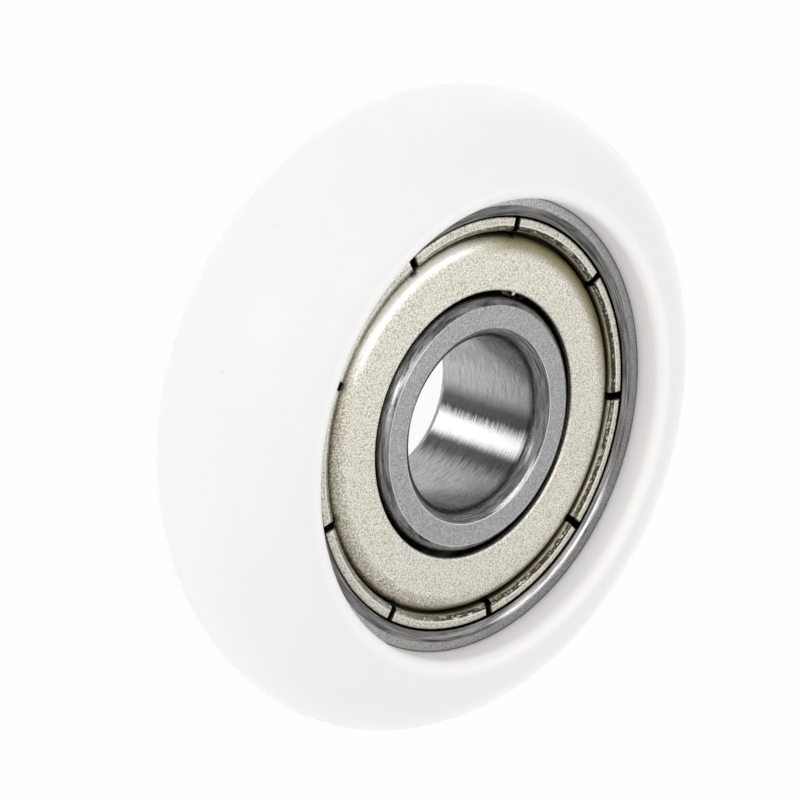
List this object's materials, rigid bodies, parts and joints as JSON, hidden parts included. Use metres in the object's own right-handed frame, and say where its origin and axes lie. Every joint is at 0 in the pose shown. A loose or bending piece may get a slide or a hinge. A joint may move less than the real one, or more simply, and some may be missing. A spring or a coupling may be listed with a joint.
{
  "type": "guide pulley",
  "caption": "Small guide pulley: a white full round plastic tyre moulded over a shielded deep groove ball bearing, recessed at the front.",
  "frame": {"origin": "the middle of the tyre, on the wheel's axis", "axes": "+Z along the wheel's axis, towards the recessed front; +X towards the first ball"},
  "size_m": [0.03, 0.03, 0.0085],
  "materials": {
    "tyre_plastic": "smooth moulded, satin, slightly translucent white",
    "ring_steel": "ground bearing steel",
    "shield_plating": "satin plated sheet with a warm tint and fine grain",
    "cage_steel": "stamped sheet steel",
    "ball_steel": "lapped and polished"
  },
  "bodies": {
    "hub": {"inner_ring": "ring_steel"},
    "wheel": {"tyre": "tyre_plastic", "outer_ring": "ring_steel", "front_shield": "shield_plating", "rear_shield": "shield_plating"},
    "cage": {"cage_front": "cage_steel", "cage_rear": "cage_steel", "cage_rivet_1": "cage_steel", "cage_rivet_2": "cage_steel", "cage_rivet_3": "cage_steel", "cage_rivet_4": "cage_steel", "cage_rivet_5": "cage_steel", "cage_rivet_6": "cage_steel", "cage_rivet_7": "cage_steel"},
    "ball_1": {"ball_1": "ball_steel"},
    "ball_2": {"ball_2": "ball_steel"},
    "ball_3": {"ball_3": "ball_steel"},
    "ball_4": {"ball_4": "ball_steel"},
    "ball_5": {"ball_5": "ball_steel"},
    "ball_6": {"ball_6": "ball_steel"},
    "ball_7": {"ball_7": "ball_steel"}
  },
  "joints": [
    {"name": "wheel_spin", "type": "hinge", "parent": "hub", "child": "wheel", "pos_m": [0, 0, -0.00075], "axis": [0, 0, 1], "continuous": true},
    {"name": "cage_spin", "type": "hinge", "parent": "hub", "child": "cage", "pos_m": [0, 0, -0.00075], "axis": [0, 0, 1], "continuous": true},
    {"name": "ball_1_roll", "type": "hinge", "parent": "cage", "child": "ball_1", "pos_m": [0.0075, 0, -0.00075], "axis": [0, 0, 1], "continuous": true},
    {"name": "ball_2_roll", "type": "hinge", "parent": "cage", "child": "ball_2", "pos_m": [0.00468, 0.00586, -0.00075], "axis": [0, 0, 1], "continuous": true},
    {"name": "ball_3_roll", "type": "hinge", "parent": "cage", "child": "ball_3", "pos_m": [-0.00167, 0.00731, -0.00075], "axis": [0, 0, 1], "continuous": true},
    {"name": "ball_4_roll", "type": "hinge", "parent": "cage", "child": "ball_4", "pos_m": [-0.00676, 0.00325, -0.00075], "axis": [0, 0, 1], "continuous": true},
    {"name": "ball_5_roll", "type": "hinge", "parent": "cage", "child": "ball_5", "pos_m": [-0.00676, -0.00325, -0.00075], "axis": [0, 0, 1], "continuous": true},
    {"name": "ball_6_roll", "type": "hinge", "parent": "cage", "child": "ball_6", "pos_m": [-0.00167, -0.00731, -0.00075], "axis": [0, 0, 1], "continuous": true},
    {"name": "ball_7_roll", "type": "hinge", "parent": "cage", "child": "ball_7", "pos_m": [0.00468, -0.00586, -0.00075], "axis": [0, 0, 1], "continuous": true}
  ],
  "couplings": [
    {"joint": "cage_spin", "follows": "wheel_spin", "ratio": 0.6323},
    {"joint": "ball_1_roll", "follows": "wheel_spin", "ratio": 1.7542},
    {"joint": "ball_2_roll", "follows": "wheel_spin", "ratio": 1.7542},
    {"joint": "ball_3_roll", "follows": "wheel_spin", "ratio": 1.7542},
    {"joint": "ball_4_roll", "follows": "wheel_spin", "ratio": 1.7542},
    {"joint": "ball_5_roll", "follows": "wheel_spin", "ratio": 1.7542},
    {"joint": "ball_6_roll", "follows": "wheel_spin", "ratio": 1.7542},
    {"joint": "ball_7_roll", "follows": "wheel_spin", "ratio": 1.7542}
  ]
}
